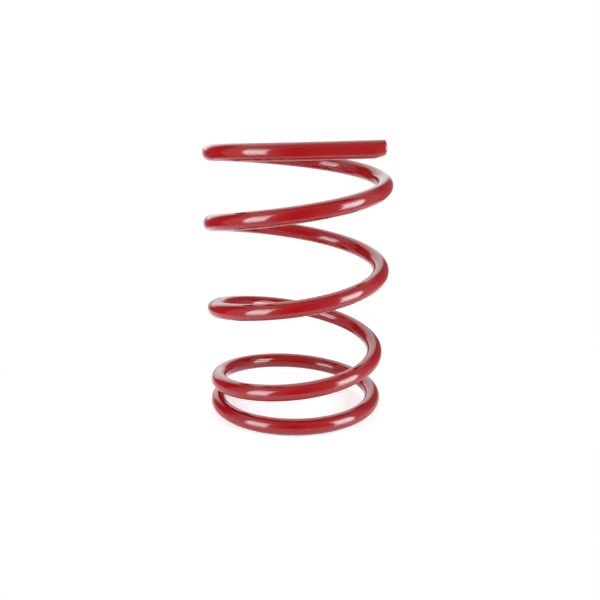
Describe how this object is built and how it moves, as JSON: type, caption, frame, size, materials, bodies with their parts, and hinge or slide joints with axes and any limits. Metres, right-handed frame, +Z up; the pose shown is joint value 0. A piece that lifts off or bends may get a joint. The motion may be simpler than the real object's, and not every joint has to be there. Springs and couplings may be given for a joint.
{
  "type": "suspension coil spring",
  "caption": "Right-handed steel compression spring for a vehicle suspension, open coils, a straight upper tail and a narrower flattened lower coil, gloss red coating.",
  "frame": {"origin": "on the coil axis, in the plane that the lower coil stands on", "axes": "+Z up along the coil axis, +X towards the side where the upper tail points, -Y towards the side where the tail leaves the coil"},
  "size_m": [0.151, 0.151, 0.2252],
  "materials": {
    "red_coating": "gloss powder coat on spring steel"
  },
  "bodies": {
    "root": {"coil_spring": "red_coating"}
  },
  "joints": []
}
